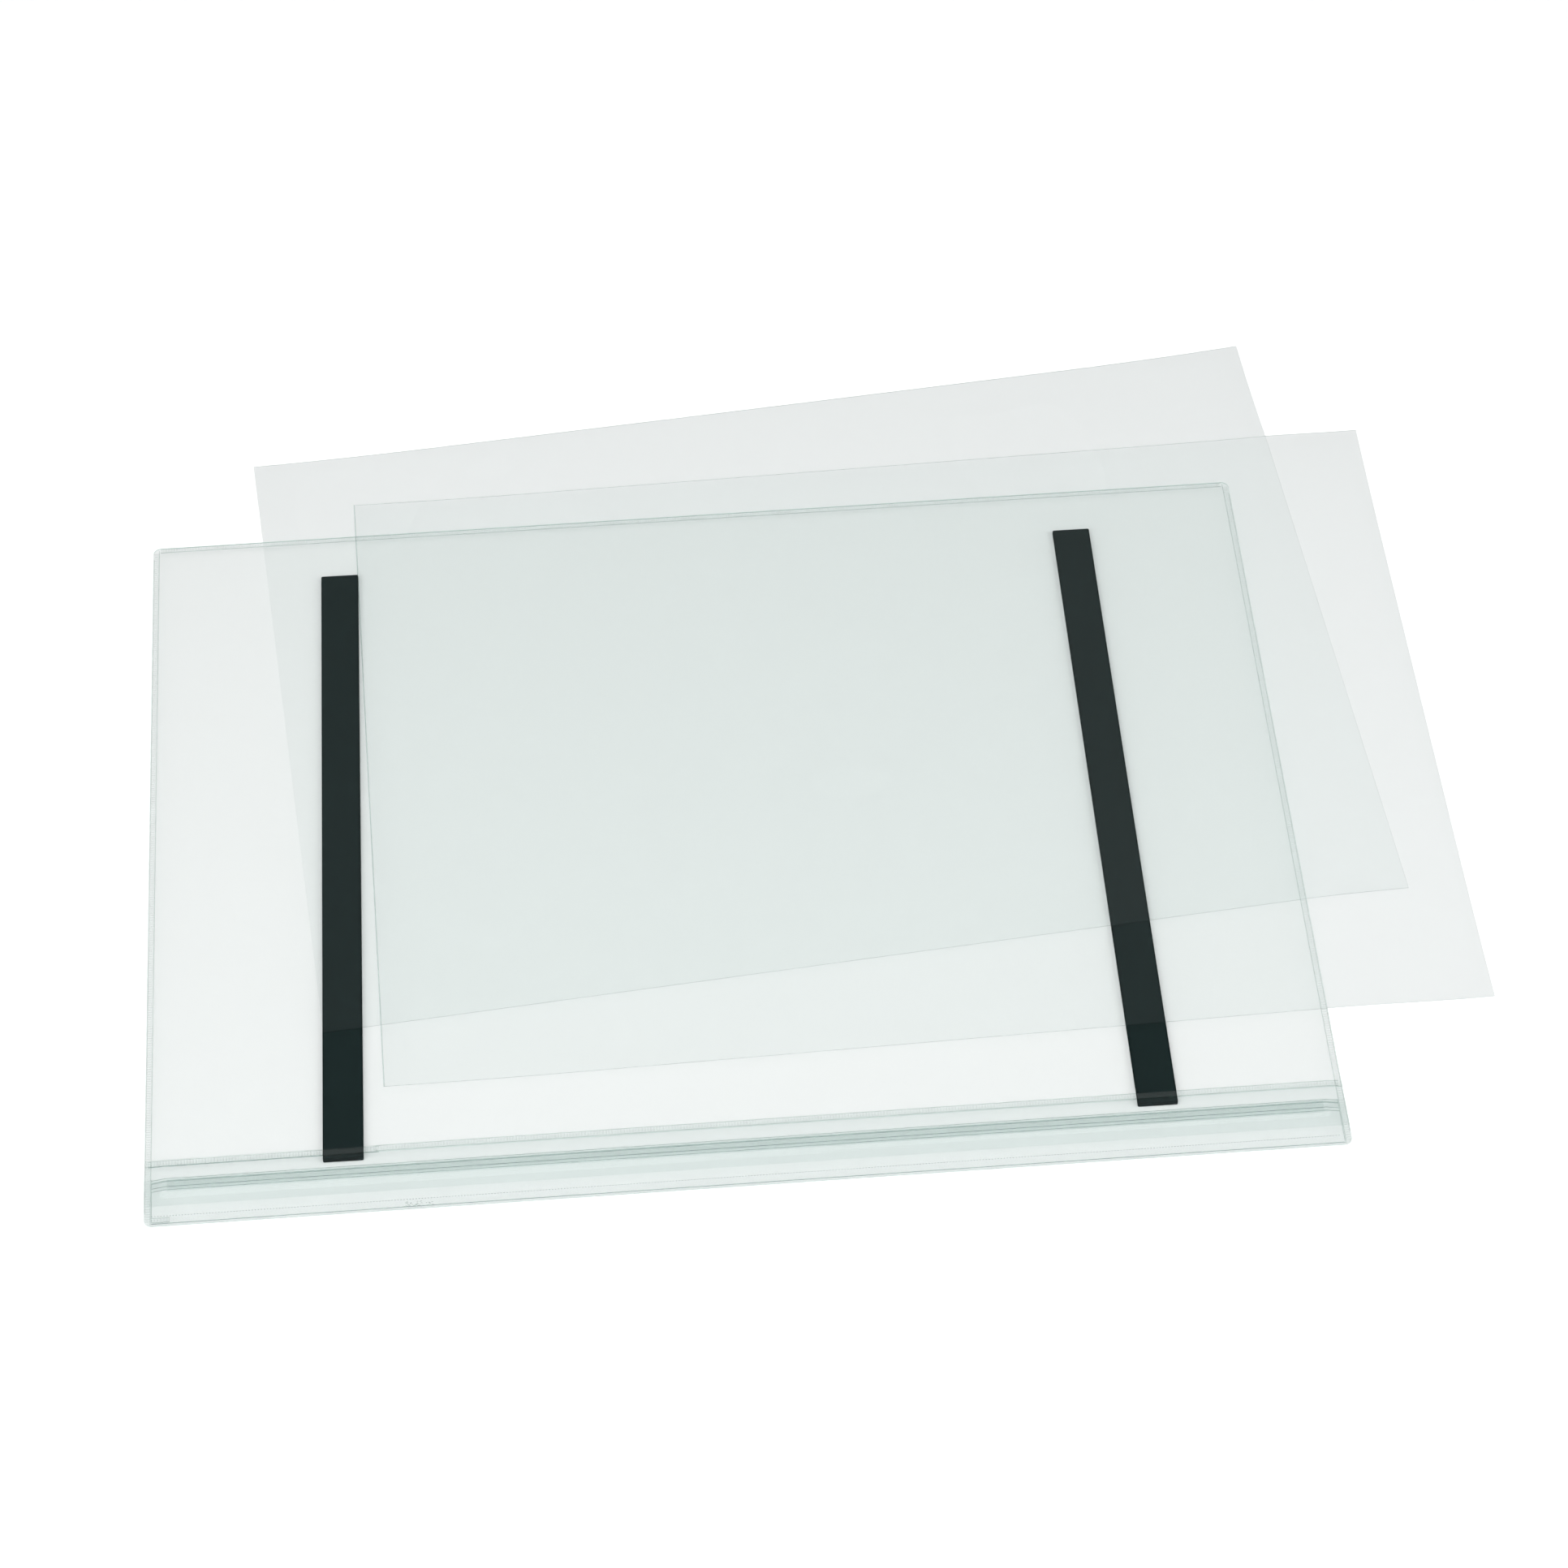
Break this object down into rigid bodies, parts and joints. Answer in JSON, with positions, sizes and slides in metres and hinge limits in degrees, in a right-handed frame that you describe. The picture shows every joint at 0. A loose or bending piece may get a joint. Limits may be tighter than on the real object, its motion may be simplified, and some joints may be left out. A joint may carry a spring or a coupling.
{
  "type": "magnetic document pocket",
  "caption": "Clear film pocket for A3 documents with a press-seal closure along its lower edge, magnetic strips on its back and insert sheets lying on it.",
  "frame": {"origin": "under the middle of the pocket's width and height, on the steel surface that the magnetic strips hold to", "axes": "+X along the pocket's width, +Y towards its closed top edge, +Z out of the surface towards the front film"},
  "size_m": [0.5088, 0.4135, 0.0037],
  "materials": {
    "pocket_film": "clear glossy soft film, very slightly green-grey, with ribbed weld seams",
    "closure_tape": "clear press-seal tape, slightly denser than the film",
    "magnet_strip": "matt black-grey magnetic rubber",
    "adhesive": "thin double-sided tape, hidden between strip and film",
    "insert_sheet": "hazy clear sheet with a satin face"
  },
  "bodies": {
    "root": {"back_film": "pocket_film", "front_film": "pocket_film", "lower_closure_tape": "closure_tape", "upper_closure_tape": "closure_tape", "left_magnet_strip": "magnet_strip", "right_magnet_strip": "magnet_strip", "left_adhesive_tape": "adhesive", "right_adhesive_tape": "adhesive", "lower_insert_sheet": "insert_sheet", "upper_insert_sheet": "insert_sheet"}
  },
  "joints": []
}
